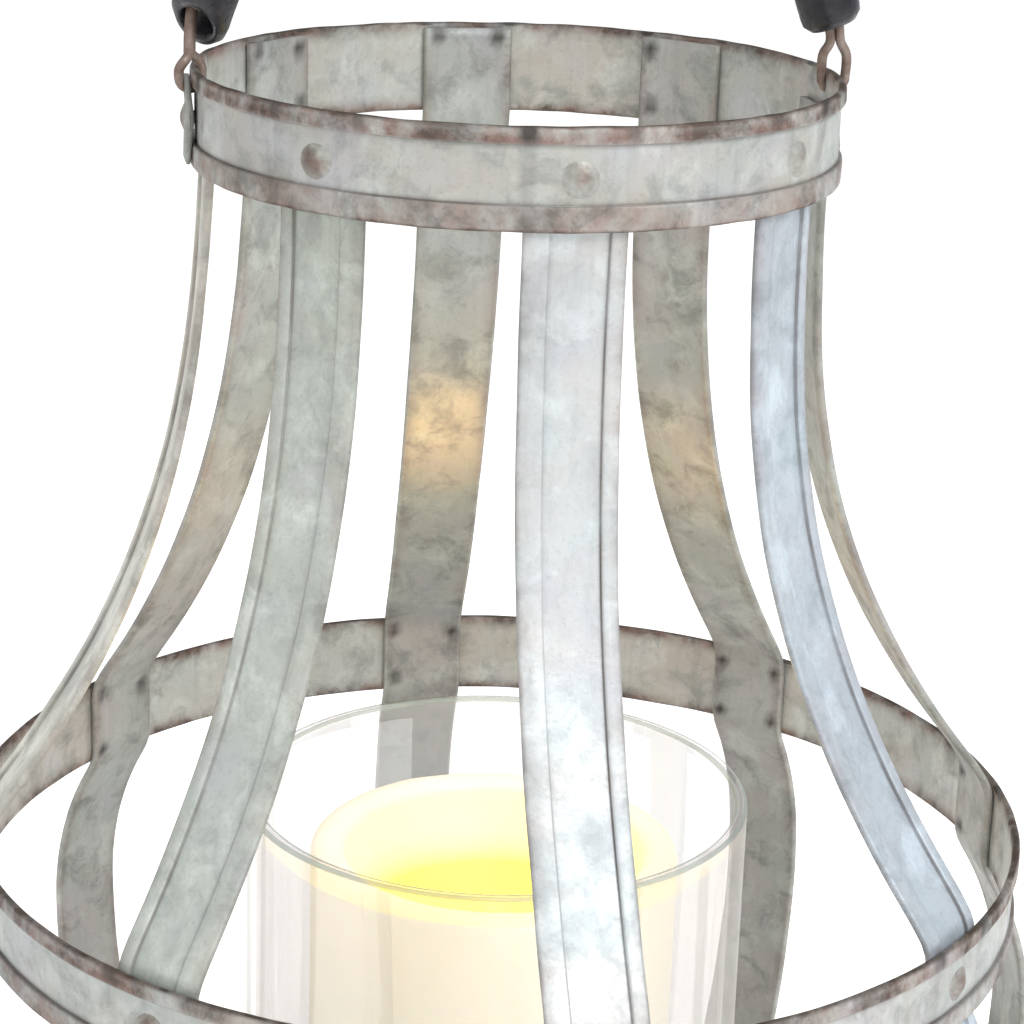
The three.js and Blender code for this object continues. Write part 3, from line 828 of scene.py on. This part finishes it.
class Zinc(Shader):
    """Weathered zinc; each method lays something over the colour so far."""

    def __init__(self, name, cool, warm):
        super().__init__(name)
        self.cool = cool
        self.warm = warm
        self.here = self.place()
        self.bent = self.warped()
        self.cloud = self.noise(26.0, 4, 0.55, 0.2, self.bent)
        self.patch = self.noise(120.0, 6, 0.68, 0.2, self.bent)
        self.grain = self.noise(1100.0, 3, 0.6, 0, self.here)
        self.inner = self.attribute("inner")
        self.base = self.mix(self.ramp(self.cloud, 0.42, 0.58), cool, warm)

    def warped(self):
        """Coordinates bent by a noise, so that stains get wandering outlines."""
        drift = self.node("ShaderNodeTexNoise", {"Scale": 90.0, "Detail": 4.0, "Vector": self.here})
        warp = self.node("ShaderNodeVectorMath", operation="MULTIPLY_ADD")
        self.put(warp.inputs[0], drift.outputs["Color"])
        self.put(warp.inputs[1], (0.012, 0.012, 0.012))
        self.put(warp.inputs[2], self.here)
        return warp.outputs[0]

    def lay(self, share, colour, blend="MIX"):
        self.base = self.mix(share, self.base, colour, blend)

    def bloom(self):
        """Lilac and pale clouds."""
        lilac = self.noise(62.0, 3, 0.5, 0.2, self.bent)
        self.lay(self.ramp(lilac, 0.5, 0.66, 0, 0.35), (0.44, 0.44, 0.50))
        pale = self.noise(80.0, 5, 0.6, 0.2, self.bent)
        self.lay(self.ramp(pale, 0.50, 0.66, 0, 0.8), scaled(self.cool, 1.35))

    def stain(self, mottle):
        """Dark stains, upright streaks, crystals and fine specks."""
        depth = self.ramp(self.inner, 0, 1, mottle, 0.8)
        dark = self.math("MULTIPLY", self.ramp(self.patch, 0.49, 0.66), depth)
        self.lay(dark, scaled(self.cool, 0.58))
        upright = self.node("ShaderNodeMapping", {"Scale": (1.0, 1.0, 0.08), "Vector": self.here})
        streak = self.noise(420.0, 3, 0.6, 0, upright.outputs[0])
        self.lay(self.ramp(streak, 0.5, 0.72, 0, 0.25), scaled(self.cool, 0.6))
        crystal = self.ramp(self.cells(230.0, self.bent), 0.1, 0.9, 0, 0.15)
        self.lay(crystal, scaled(self.cool, 1.45))
        self.lay(self.ramp(self.grain, 0.56, 0.76, 0, 0.35), scaled(self.warm, 0.55))

    def shade_below_rim(self, amount):
        """Painted shade on the outside, darkest just under the top band and fading further down."""
        height = self.node("ShaderNodeSeparateXYZ", {0: self.here}).outputs["Z"]
        shade_below_band = self.ramp(height, RIM_Z - 75 * MM, RIM_Z - STRIP, 0, amount)
        shade_below_band = self.math("MULTIPLY", shade_below_band, self.math("SUBTRACT", 1.0, self.inner))
        self.lay(shade_below_band, (0.55, 0.53, 0.50), "MULTIPLY")

    def rust(self, amount, crest_amount):
        """Brown folded edges, with a broken dark line along their tops; gives their share."""
        edge = self.attribute("edge")
        worn = self.ramp(self.noise(95.0, 5, 0.68, 0.3, self.here), 0.34, 0.58, 0.12, 1.0)
        share = self.math("MULTIPLY", self.math("MINIMUM", edge, 1.0), worn)
        share = self.math("MULTIPLY", share, amount)
        tone = self.ramp(self.patch, 0.42, 0.58)
        self.lay(share, self.mix(tone, (0.24, 0.165, 0.14), (0.10, 0.07, 0.058)))
        broken = self.ramp(self.noise(150.0, 3, 0.6, 0, self.here), 0.35, 0.6, 0.35, 1.0)
        crest = self.math("MULTIPLY", self.ramp(edge, 1.0, 1.3), broken)
        self.lay(self.math("MULTIPLY", crest, crest_amount), (0.055, 0.04, 0.03))
        return share

    def darken(self):
        """Painted shade, broken into patches, in the crevices beside the folds, and scorches at the
        welds.
        """
        patchy = self.ramp(self.noise(45.0, 3, 0.5, 0, self.here), 0.35, 0.62, 0.2, 0.75)
        crevice_shade = self.math("MULTIPLY", self.attribute("crevice"), patchy)
        # painted shade darkens the crevice under each fold's lip
        self.lay(crevice_shade, (0.12, 0.095, 0.085))
        scorch = self.ramp(self.attribute("scorch"), 0.1, 0.8)
        self.lay(self.math("MULTIPLY", scorch, 0.92), (0.045, 0.04, 0.035))


def galvanised(name, cool, warm, inner_light_and_shade, rusting=0.4, cresting=0.0, mottle=0.5, rim_shade_amount=0.0):
    """The zinc of one part; the colour of a strip's inner face is multiplied, as painted shade on the
    slats' insides and painted light on the bands' insides.
    """
    s = Zinc(name, cool, warm)
    s.bloom()
    s.stain(mottle)
    # painted shade on the outside of a strip, just under the top band
    s.shade_below_rim(rim_shade_amount)
    # painted light and shade: inner faces are darkened on the slats and lightened on the bands
    s.lay(s.inner, inner_light_and_shade, "MULTIPLY")
    rust = s.rust(rusting, cresting)
    s.darken()
    s.set(Base_Color=s.base, Metallic=0.35)
    gloss = s.ramp(s.patch, 0.3, 0.75, 0.38, 0.66)
    s.set(Roughness=s.mix(rust, gloss, (0.8, 0.8, 0.8)))
    relief = s.math("ADD", s.math("MULTIPLY", s.cloud, 0.7), s.math("MULTIPLY", s.patch, 0.3))
    soft = s.bump(relief, 0.0006, 0.5)
    s.set(Normal=s.bump(s.grain, 0.0001, 0.6, soft))
    return s.material


def rivet_metal():
    """Zinc like the bands at the rim of a head, worn through to brown rust on its crown."""
    s = Shader("rivet_metal")
    blot = s.noise(260.0, 5, 0.65, 0.5)
    fine = s.noise(1500.0, 3, 0.6)
    zinc = s.mix(s.ramp(blot, 0.4, 0.65), (0.38, 0.385, 0.36), (0.27, 0.25, 0.23))
    brown = s.mix(s.ramp(blot, 0.35, 0.65), (0.22, 0.15, 0.12), (0.14, 0.10, 0.085))
    stain = s.ramp(s.noise(150.0, 3, 0.6), 0.3, 0.7, -0.45, 0.35)
    crown = s.math("ADD", s.attribute("crown"), stain)
    colour = s.mix(s.ramp(crown, 0.35, 0.9, 0, 0.9), zinc, brown)
    s.set(Base_Color=colour, Metallic=0.45, Roughness=s.ramp(blot, 0.3, 0.7, 0.45, 0.7))
    s.set(Normal=s.bump(fine, 0.0001, 0.7))
    return s.material


def rusty_wire():
    """Brown, pitted iron."""
    s = Shader("wire_iron")
    blot = s.noise(260.0, 5, 0.65, 0.5)
    fine = s.noise(1500.0, 3, 0.6)
    colour = s.mix(s.ramp(blot, 0.35, 0.65), (0.27, 0.22, 0.19), (0.17, 0.11, 0.085))
    colour = s.mix(s.ramp(fine, 0.5, 0.8, 0, 0.5), colour, (0.12, 0.09, 0.08))
    s.set(Base_Color=colour, Metallic=0.45, Roughness=s.ramp(blot, 0.3, 0.7, 0.45, 0.75))
    s.set(Normal=s.bump(fine, 0.0001, 0.7))
    return s.material


def black_sleeving():
    """Soft black sleeving, wrinkled, and scuffed grey in places."""
    s = Shader("black_sleeving")
    pebble = s.cells(1300.0)
    wrinkle = s.noise(420.0, 4, 0.6, 0.4)
    scuff = s.ramp(s.noise(130.0, 4, 0.6, 0.5), 0.48, 0.70, 0, 0.6)
    colour = s.mix(scuff, (0.006, 0.006, 0.010), (0.032, 0.030, 0.042))
    s.set(Base_Color=colour, Roughness=s.ramp(wrinkle, 0.3, 0.7, 0.24, 0.52))
    s.surface.inputs["Specular IOR Level"].default_value = 0.45
    soft = s.bump(wrinkle, 0.0004, 0.7)
    s.set(Normal=s.bump(s.ramp(pebble, 0, 1), 0.00006, 0.4, soft))
    return s.material


def clear_glass():
    """Thin clear glass: mostly see-through, greyer and shinier where it is seen edge on."""
    s = Shader("clear_glass")
    s.set(Base_Color=(0.93, 0.96, 0.945, 1), Roughness=0.02, IOR=1.48)
    s.surface.inputs["Transmission Weight"].default_value = 1.0
    ripple = s.noise(26.0, 2, 0.4)
    s.set(Normal=s.bump(ripple, 0.0004, 0.2))
    haze = s.mix(s.ramp(ripple, 0.35, 0.65), (0.92, 0.91, 0.90), (0.90, 0.89, 0.89))
    clear = s.node("ShaderNodeBsdfTransparent", {"Color": haze})
    path = s.node("ShaderNodeLightPath")
    soft = s.math("MAXIMUM", path.outputs["Is Shadow Ray"], path.outputs["Is Diffuse Ray"])
    share = s.math("MAXIMUM", soft, 0.8)
    both = s.node("ShaderNodeMixShader", {0: share})
    s.put(both.inputs[1], s.surface.outputs[0])
    s.put(both.inputs[2], clear.outputs[0])
    ground = s.node("ShaderNodeBsdfDiffuse", {"Color": (0.36, 0.42, 0.38, 1)})
    rim = s.node("ShaderNodeMixShader", {0: s.math("MULTIPLY", s.attribute("edge"), 0.6)})
    s.put(rim.inputs[1], both.outputs[0])
    s.put(rim.inputs[2], ground.outputs[0])
    s.put(s.output.inputs["Surface"], rim.outputs[0])
    return s.material


def glowing_wax():
    """Ivory wax with painted glow: emission stands in for the lamp's light shining through the wax,
    brightest yellow down in the bowl and fading down the side.
    """
    s = Shader("glowing_wax")
    parts = s.node("ShaderNodeSeparateXYZ", {0: s.place()})
    x, y, z = parts.outputs
    radius = s.math("SQRT", s.math("ADD", s.math("MULTIPLY", x, x), s.math("MULTIPLY", y, y)))
    inside = s.ramp(radius, WAX_HI.x - 4.5 * MM, WAX_HI.x - 12 * MM)
    deep = s.ramp(z, WAX_HI.z, WAX_HI.z - 14 * MM)
    side = s.ramp(z, WAX_LO.z, WAX_HI.z, 0.05, 0.34)
    cloud = s.noise(60.0, 4, 0.6, 0.3)
    colour = s.mix(s.ramp(cloud, 0.35, 0.7, 0, 0.6), (0.95, 0.90, 0.76), (0.93, 0.86, 0.70))
    # painted light: the base colour turns yellow inside the bowl where the lamp lights it
    colour = s.mix(s.ramp(inside, 0.3, 1.0), colour, (0.88, 0.82, 0.22))
    s.set(Base_Color=colour, Roughness=0.5)
    s.surface.inputs["Subsurface Weight"].default_value = 0.3
    s.surface.inputs["Subsurface Radius"].default_value = (0.02, 0.012, 0.006)
    s.surface.inputs["Subsurface Scale"].default_value = 0.4
    # painted glow: the wax emits light, weak at the foot, stronger towards the top and strongest down
    # in the bowl
    glow = s.mix(inside, (1.0, 0.90, 0.66), (1.0, 0.92, 0.05))
    s.set(Emission_Color=glow)
    bowl = s.math("MULTIPLY", inside, s.ramp(deep, 0, 1, 0.16, 0.30))
    s.set(Emission_Strength=s.math("ADD", side, bowl))
    fine = s.noise(700.0, 3, 0.5)
    s.set(Normal=s.bump(s.math("ADD", cloud, s.math("MULTIPLY", fine, 0.2)), 0.0005, 0.4))
    return s.material


def lit_lamp():
    """The lamp's translucent dome, lit."""
    s = Shader("lit_lamp")
    cloud = s.noise(300.0, 2, 0.5)
    s.set(Base_Color=(1.0, 0.9, 0.6, 1), Roughness=0.35)
    s.set(Emission_Color=s.mix(cloud, (1.0, 0.86, 0.35), (1.0, 0.70, 0.22)))
    s.set(Emission_Strength=s.ramp(cloud, 0.2, 0.8, 3.0, 5.0))
    return s.material


def moulded(name, colour, roughness=0.45):
    """Satin moulded plastic."""
    s = Shader(name)
    cloud = s.noise(120.0, 3, 0.5)
    fine = s.noise(2200.0, 2, 0.5)
    darker = scaled(colour, 0.86)
    s.set(Base_Color=s.mix(s.ramp(cloud, 0.35, 0.65), colour, darker))
    s.set(Roughness=s.ramp(fine, 0.3, 0.7, roughness - 0.06, roughness + 0.1))
    s.set(Normal=s.bump(fine, 0.00004, 0.5))
    return s.material


def bare_metal(name, colour, roughness=0.35):
    """Bare metal, brushed round and round."""
    s = Shader(name)
    brushed = s.node("ShaderNodeMapping", {"Scale": (1.0, 1.0, 25.0), "Vector": s.place()})
    streak = s.noise(180.0, 4, 0.6, 0, brushed.outputs[0])
    darker = scaled(colour, 0.75)
    s.set(Base_Color=s.mix(s.ramp(streak, 0.3, 0.7), colour, darker), Metallic=0.9)
    s.set(Roughness=s.ramp(streak, 0.3, 0.7, roughness - 0.08, roughness + 0.12))
    s.set(Normal=s.bump(streak, 0.00005, 0.4))
    return s.material


# ---- the cage ----
SHADED_INSIDE = (0.86, 0.85, 0.87)  # painted shade: the inside faces of the slats are darker than the outside
LIT_INSIDE = (1.25, 1.24, 1.22)  # painted light: the bands are lighter inside than outside
SLAT_TINTS = {  # the cool and the warm tone of the slats that differ from the rest
    4: ((0.66, 0.67, 0.61), (0.70, 0.67, 0.60)),
    5: ((0.46, 0.50, 0.46), (0.45, 0.47, 0.42)),
    6: ((0.52, 0.56, 0.57), (0.57, 0.56, 0.55)),
    7: ((0.46, 0.53, 0.58), (0.47, 0.51, 0.56)),
}
CLEANEST = 6  # the slat with the fewest dark stains
PLAIN_TINT = ((0.44, 0.47, 0.43), (0.49, 0.47, 0.44))
band_zinc = galvanised(
    "band_zinc",
    (0.375, 0.395, 0.38),
    (0.39, 0.37, 0.335),
    LIT_INSIDE,
    rusting=1.0,
    cresting=1.0,
    mottle=0.65,
)
plate_zinc = galvanised("plate_zinc", (0.30, 0.32, 0.31), (0.36, 0.34, 0.32), SHADED_INSIDE)
ear_zinc = galvanised("ear_zinc", (0.24, 0.25, 0.23), (0.22, 0.20, 0.18), SHADED_INSIDE)
rivet_iron = rivet_metal()

band("band_top", "top_band", "galvanised_band", TOP_R, RIM_Z, band_zinc, 1.3)
band("band_middle", "middle_band", "galvanised_band", MIDDLE_R, MIDDLE_HI.z, band_zinc, 4.1)
band("band_base", "base_band", "galvanised_band", BASE_R, BASE_HI.z, band_zinc, 7.7)

EAR_SLATS = (0, SLATS // 2)  # the slats behind the two ears
FLIPPED = (4, 5)  # slats with their narrow hem on the other side
for i in range(SLATS):
    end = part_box(f"slat_{i + 1}")[1].z
    cool, warm = SLAT_TINTS.get(i, PLAIN_TINT)
    stains = 0.25 if i == CLEANEST else 0.5
    name = f"slat_zinc_{i + 1}"
    # the slats get painted shade under the top band and on their inside faces
    zinc = galvanised(name, cool, warm, SHADED_INSIDE, cresting=0.2, mottle=stains, rim_shade_amount=0.4)
    slat(i, end, -1 if i in FLIPPED else 1, zinc)

RIVET_ROWS = (
    ("top", TOP_R, RIM_Z),
    ("middle", MIDDLE_R, MIDDLE_HI.z),
    ("base", BASE_R, BASE_HI.z),
)
for row, band_r, band_top in RIVET_ROWS:
    for i in range(SLATS):
        over_ear = row == "top" and i in EAR_SLATS
        seat = EAR_BOX[1].x - TOP_R - EAR_DIP - EAR_HUG if over_ear else -SHEET
        inner = band_r - 2 * HEMMED - SNUG
        if row == "base":
            inner = PLATE_HI.x - 0.3 * MM - SHEET
        rivet(row, i, band_r, band_top - STRIP / 2, inner, seat, rivet_iron)

ear(1, "ear_right", ear_zinc)
ear(-1, "ear_left", ear_zinc)
base_plate(plate_zinc)

# ---- the handle ----
sleeve(black_sleeving())
bar_and_loops(rusty_wire())

# ---- the glass and the candle ----
chimney(clear_glass())
wax(glowing_wax())

ivory = moulded("ivory_plastic", (0.93, 0.88, 0.76))
can = bare_metal("cell_can", (0.42, 0.46, 0.48))
finishes = {
    "candle_core": ivory,
    "battery_cover": ivory,
    "candle_lamp": lit_lamp(),
    "candle_board": moulded("board_green", (0.05, 0.22, 0.10), 0.4),
    "candle_switch": moulded("switch_black", (0.03, 0.03, 0.035), 0.4),
    "battery_1": can,
    "battery_2": can,
    "battery_contact": bare_metal("contact_strip", (0.78, 0.62, 0.30)),
}
for node, material in finishes.items():
    for slot in frame["nodes"][node].material_slots:
        slot.material = material


# ---- stage, light and camera ----
def stage():
    """A wide pale floor under an even white sky."""
    s = Shader("pale_floor")
    s.set(Base_Color=s.mix(s.noise(3.0, 3), (0.97, 0.97, 0.97), (0.95, 0.95, 0.955)), Roughness=0.9)
    s.set(Emission_Color=(1, 1, 1, 1), Emission_Strength=0.5)
    size = 30.0
    verts = [(-size, -size, 0), (size, -size, 0), (size, size, 0), (-size, size, 0)]
    make_object("floor", verts, [(0, 1, 2, 3)], s.material)
    world = bpy.data.worlds.new("studio")
    bpy.context.scene.world = world
    world.use_nodes = True
    sky = world.node_tree.nodes["Background"]
    sky.inputs["Color"].default_value = (1, 1, 1, 1)
    sky.inputs["Strength"].default_value = 0.5


def soft_light(name, place, aim, size, watts, colour=(1, 1, 1)):
    """A large round lamp."""
    data = bpy.data.lights.new(name, "AREA")
    data.shape = "DISK"
    data.size = size
    data.energy = watts
    data.color = colour
    lamp = bpy.data.objects.new(name, data)
    bpy.context.scene.collection.objects.link(lamp)
    lamp.location = place
    lamp.rotation_euler = (Vector(aim) - Vector(place)).to_track_quat("-Z", "Y").to_euler()


def lamp_at(name, kind, place, aim, watts, size):
    """A small warm lamp; a spot lamp throws a soft round patch of light where it is aimed."""
    data = bpy.data.lights.new(name, kind)
    data.energy = watts
    data.color = (1.0, 0.50, 0.13)
    data.shadow_soft_size = size
    if kind == "SPOT":
        data.spot_size = math.radians(25)
        data.spot_blend = 1.0
    lamp = bpy.data.objects.new(name, data)
    lamp.location = place
    lamp.rotation_euler = (Vector(aim) - Vector(place)).to_track_quat("-Z", "Y").to_euler()
    bpy.context.scene.collection.objects.link(lamp)


def candle_light():
    """The glow that the lit candle throws up on to the slats, half way up the neck."""
    place = (0, 0, WAX_HI.z + 12 * MM)
    lamp_at("candle_glow", "POINT", place, (0, 0, 1), 0.02, 14 * MM)
    lit_z = (RIM_Z + MIDDLE_HI.z) / 2 - 20 * MM
    strong = {2: 0.16, 1: 0.08}  # watts on the two slats at the back that show it most
    weak = 0.035
    for i in range(SLATS):
        angle = TAU * i / SLATS
        aim = (70 * MM * math.cos(angle), 70 * MM * math.sin(angle), lit_z)
        lamp_at(f"candle_beam_{i + 1}", "SPOT", place, aim, strong.get(i, weak), 3 * MM)


def camera():
    """Looks down past the rim, from a touch to the left of the front slat's middle."""
    distance = 0.5241
    bearing = math.radians(-100.5)
    aside = 0.0028  # it looks this little past the lantern's axis
    heading = bearing + math.pi - aside
    pitch = 0.3143
    roll = 0.0321
    above_rim = 0.0822
    eye = Vector((distance * math.cos(bearing), distance * math.sin(bearing), RIM_Z + above_rim))
    level = Vector((math.cos(heading), math.sin(heading), 0))
    look = level * math.cos(pitch) - Vector((0, 0, math.sin(pitch)))
    right = look.cross(Vector((0, 0, 1))).normalized()
    up = right.cross(look)
    basis = Matrix((right, up, -look)).transposed()
    data = bpy.data.cameras.new("view")
    data.lens = 97.44
    data.sensor_width = 36
    data.clip_start = 0.01
    data.clip_end = 200
    made = bpy.data.objects.new("view", data)
    bpy.context.scene.collection.objects.link(made)
    made.matrix_world = Matrix.Translation(eye) @ basis.to_4x4() @ Matrix.Rotation(roll, 4, "Z")
    bpy.context.scene.camera = made


stage()
camera()
soft_light("key", (0.55, -1.0, 1.35), (0, 0, 0.2), 0.9, 21, (0.98, 0.99, 1.0))
soft_light("fill", (-1.1, -0.7, 0.9), (0, 0, 0.2), 0.8, 3, (1.0, 0.98, 0.95))
soft_light("top", (0.1, 0.3, 1.6), (0, 0, 0.2), 0.9, 3)
candle_light()
bpy.context.scene.view_settings.view_transform = "Standard"
